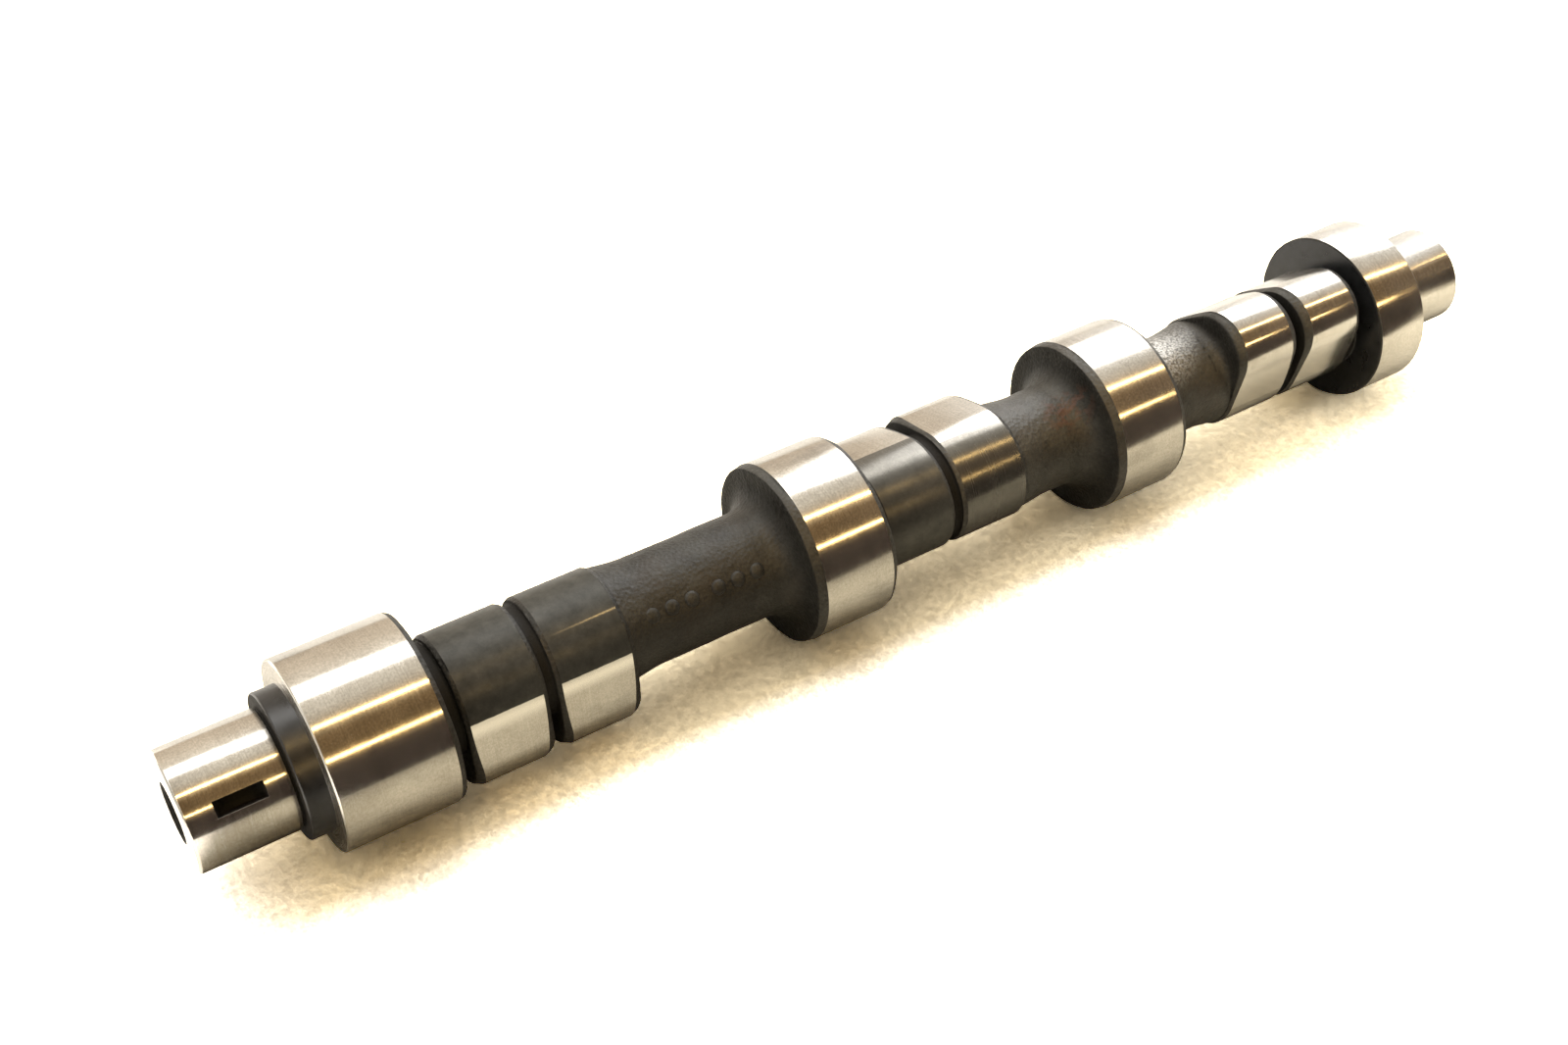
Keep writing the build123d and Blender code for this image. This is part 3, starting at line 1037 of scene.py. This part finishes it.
def camera_sees(tree, here, lengthwise, across):
    """The colour of the table to the eye, by its place in metres, with painted contact
    shadows.
    """
    # Painted light: past the shadow's edge and ahead of the nose the table turns whiter and
    # less cream.
    past_shadow = span(tree, across, *PAST_SHADOW, 0.0, 1.0)
    past_nose = span(tree, lengthwise, *PAST_NOSE, 0.0, 1.0)
    away = maths(tree, "MAXIMUM", past_shadow, past_nose)
    colour = blend_colours(tree, away, TO_CAMERA, TO_CAMERA_AWAY)
    # Painted contact shadows: the table is darkened round where each journal touches it.
    for middle in CONTACT_SHADOW_PLACES:
        contact_shadow = near_place(tree, here, (middle, CONTACT_SHADOW_SIDE, -JOURNAL), CONTACT_SHADOW_REACH)
        colour = scaled(tree, colour, span(tree, contact_shadow, 0.0, 1.0, 1.0, CONTACT_SHADOW_TONE))
    return colour


def table_look():
    material, tree, shader, here = start_material("table")
    tree.nodes.remove(shader)
    to_camera = add(tree, "LightPath").outputs["Is Camera Ray"]
    speckle = grain(tree, here, 560.0, detail=6.0, roughness=0.9)
    speckle = span(tree, speckle, 0.4, 0.6, 0.7, 1.3)
    axes = add(tree, "SeparateXYZ", {"Vector": here}).outputs
    mirrored = metal_sees(tree, axes["X"], axes["Y"])
    seen = camera_sees(tree, here, axes["X"], axes["Y"])
    tint = scaled(tree, blend_colours(tree, to_camera, mirrored, seen), speckle)
    surface = add(tree, "BsdfDiffuse", {"Color": tint}).outputs[0]
    tree.links.new(surface, tree.nodes["Material Output"].inputs["Surface"])
    return material


table = bmesh.new()
bmesh.ops.create_grid(table, x_segments=1, y_segments=1, size=TABLE_SIZE)
bmesh.ops.translate(table, verts=table.verts, vec=(TABLE_MIDDLE, 0, FLOOR_HEIGHT))
table_piece = object_of(table, "table")
table_piece.data.materials.append(table_look())
print("table at z, mm:", FLOOR_HEIGHT / MM)

# %% [markdown]
# ## The room
# Bare metal is only as good as what it mirrors. The room is a sky of colours that turns
# about the shaft's axis: white behind, warm grey overhead, dark brown on the near side,
# where the room is unlit. Each list gives the turn from straight up towards the near
# side, in degrees, and the colour there. The second list is for what lies past the rear
# end, and a plain wall stands past the front end, and each takes over by how far a
# direction points along the shaft. The near side is darkened further for dull surfaces,
# which keeps the shadow deep. The camera itself sees plain white.

# %% Room
ROOM = [
    (-180, (0.9, 0.8, 0.65)), (-110, (1.15, 1.05, 0.9)), (-92, (0.8, 0.66, 0.5)),
    (-60, (1.0, 0.86, 0.68)), (-38, (1.2, 1.08, 0.9)), (0, (0.9, 0.82, 0.68)),
    (18, (0.62, 0.5, 0.34)), (30, (0.25, 0.155, 0.07)), (62, (0.19, 0.12, 0.055)),
    (70, (0.10, 0.065, 0.045)), (90, (0.11, 0.075, 0.055)), (180, (0.12, 0.08, 0.06)),
]
ROOM_END = [
    (-180, (1.2, 1.15, 1.0)), (-110, (1.7, 1.65, 1.55)), (-92, (1.5, 1.45, 1.35)),
    (-60, (1.5, 1.45, 1.4)), (-24, (1.5, 1.45, 1.4)), (-10, (1.0, 0.95, 0.85)),
    (18, (0.62, 0.5, 0.36)), (30, (0.26, 0.18, 0.11)), (62, (0.22, 0.17, 0.12)),
    (70, (0.14, 0.11, 0.08)), (90, (0.16, 0.13, 0.11)), (180, (0.16, 0.13, 0.11)),
]
FRONT_WALL = (0.75, 0.71, 0.64)
TO_REAR_END, TO_FRONT_WALL = (0.44, 0.62), (-0.45, -0.85)
DARK_FROM, DARK_TO, DARK_SHARE = math.radians(8), math.radians(20), 0.8


def sky_ramp(tree, share, colours):
    """A ramp over the whole turn, from a list of degrees and colours."""
    return ramp(tree, share, *[((degrees + 180) / 360, tone) for degrees, tone in colours])


world = bpy.data.worlds.new("room")
world.use_nodes = True
bpy.context.scene.world = world
tree = world.node_tree
tree.nodes.clear()
sky = add(tree, "TexCoord").outputs["Generated"]
axes = add(tree, "SeparateXYZ", {"Vector": sky}).outputs
near_side = maths(tree, "MULTIPLY", axes["Y"], -1.0)
turn = maths(tree, "ARCTAN2", near_side, axes["Z"])
share = span(tree, turn, -math.pi, math.pi, 0.0, 1.0)
here_room, end_room = sky_ramp(tree, share, ROOM), sky_ramp(tree, share, ROOM_END)
to_end = span(tree, axes["X"], *TO_REAR_END, 0.0, 1.0)
colour = blend_colours(tree, to_end, here_room, end_room)
to_front = span(tree, axes["X"], *TO_FRONT_WALL, 0.0, 1.0)
colour = blend_colours(tree, to_front, colour, FRONT_WALL)
path = add(tree, "LightPath").outputs
darkened = span(tree, turn, DARK_FROM, DARK_TO, 0.0, DARK_SHARE)
darkened = times(tree, path["Is Diffuse Ray"], darkened)
colour = blend_colours(tree, darkened, colour, (0.0, 0.0, 0.0))
room_light = add(tree, "Background", {"Color": colour})
white = add(tree, "Background", {"Color": (1.0, 1.0, 1.0, 1.0)})
choice = add(tree, "MixShader", {0: path["Is Camera Ray"]})
tree.links.new(room_light.outputs[0], choice.inputs[1])
tree.links.new(white.outputs[0], choice.inputs[2])
add(tree, "OutputWorld", {"Surface": choice.outputs[0]})
print("room colours:", len(ROOM), "and past the rear end", len(ROOM_END))

# %% [markdown]
# ## The lamps
# One long soft panel hangs above and behind, and gives the white band on every journal
# and the shadow on the near side. Two thin warm tubes run along the shaft in front of
# it, and each shows as a golden streak. All three run far past both ends, so that the
# part sees them whole, the lower tube a little less far at the rear. A square window
# off the rear end is mirrored in the faces that turn that way, and a small lamp that no
# metal mirrors softens the shadow at the rear journal. A dark card stands in front,
# where only the metal sees it.

# %% Lamps
LAMP_DISTANCE, FULL_LENGTH, SHORT_LENGTH = 1.0, (-1.35, 1.65), (-1.35, 1.0)
PANEL_WHITE, TUBE_GOLD = (1.0, 0.99, 0.97), (1.0, 0.67, 0.27)
CARD_SIZE, CARD_SCALE = 0.5, (6.0, 0.14, 1)
CARD_PLACE, CARD_COLOUR = (0.15, -0.18, FLOOR_HEIGHT + 0.07), (0.03, 0.02, 0.015, 1.0)


def strip_lamp(name, turn, ends, width, radiance, colour, lights_all=False):
    """A lamp along the shaft, at this turn from straight up to the near side."""
    data = bpy.data.lights.new(name, "AREA")
    data.shape, data.size, data.size_y = "RECTANGLE", ends[1] - ends[0], width
    data.energy = radiance * math.pi * data.size * data.size_y
    data.color = colour
    lamp = bpy.data.objects.new(name, data)
    angle = math.radians(turn)
    middle = (ends[0] + ends[1]) / 2
    lamp.location = (
        middle, -LAMP_DISTANCE * math.sin(angle), LAMP_DISTANCE * math.cos(angle)
    )
    lamp.rotation_euler = (angle, 0, 0)
    lamp.visible_camera, lamp.visible_diffuse = False, lights_all
    bpy.context.scene.collection.objects.link(lamp)


def soft_lamp(name, place, target, size, radiance, mirrored):
    """A square white lamp that lights all, and shows in metal only if mirrored."""
    data = bpy.data.lights.new(name, "AREA")
    data.shape, data.size = "SQUARE", size
    data.energy = radiance * math.pi * size**2
    lamp = bpy.data.objects.new(name, data)
    lamp.location = place
    backwards = Vector(place) - Vector(target)
    lamp.rotation_euler = backwards.to_track_quat("Z", "Y").to_euler()
    lamp.visible_camera, lamp.visible_glossy = False, mirrored
    bpy.context.scene.collection.objects.link(lamp)


strip_lamp("panel", -25, FULL_LENGTH, 0.36, 3.0, PANEL_WHITE, lights_all=True)
strip_lamp("upper_tube", 19.5, FULL_LENGTH, 0.045, 17.0, TUBE_GOLD)
strip_lamp("lower_tube", 57, SHORT_LENGTH, 0.04, 17.0, TUBE_GOLD)
soft_lamp("end_window", (1.02, 0.72, 0.77), (0.24, 0, 0), 0.7, 4.0, True)
soft_lamp("end_fill", (0.42, -0.10, 0.06), (0.309, -0.018, -0.024), 0.1, 4.0, False)

card = bmesh.new()
upright = Matrix.Rotation(math.pi / 2, 3, "X")
bmesh.ops.create_grid(card, x_segments=1, y_segments=1, size=CARD_SIZE)
bmesh.ops.scale(card, vec=CARD_SCALE, verts=card.verts)
bmesh.ops.rotate(card, cent=(0, 0, 0), matrix=upright, verts=card.verts)
bmesh.ops.translate(card, verts=card.verts, vec=CARD_PLACE)
card_piece = object_of(card, "dark_card")
material, tree, shader, _ = start_material("dark_card")
feed(tree, shader, Base_Color=CARD_COLOUR, Roughness=0.9)
card_piece.data.materials.append(material)
card_piece.visible_camera = card_piece.visible_shadow = card_piece.visible_diffuse = False

bpy.context.scene.view_settings.view_transform = "Standard"
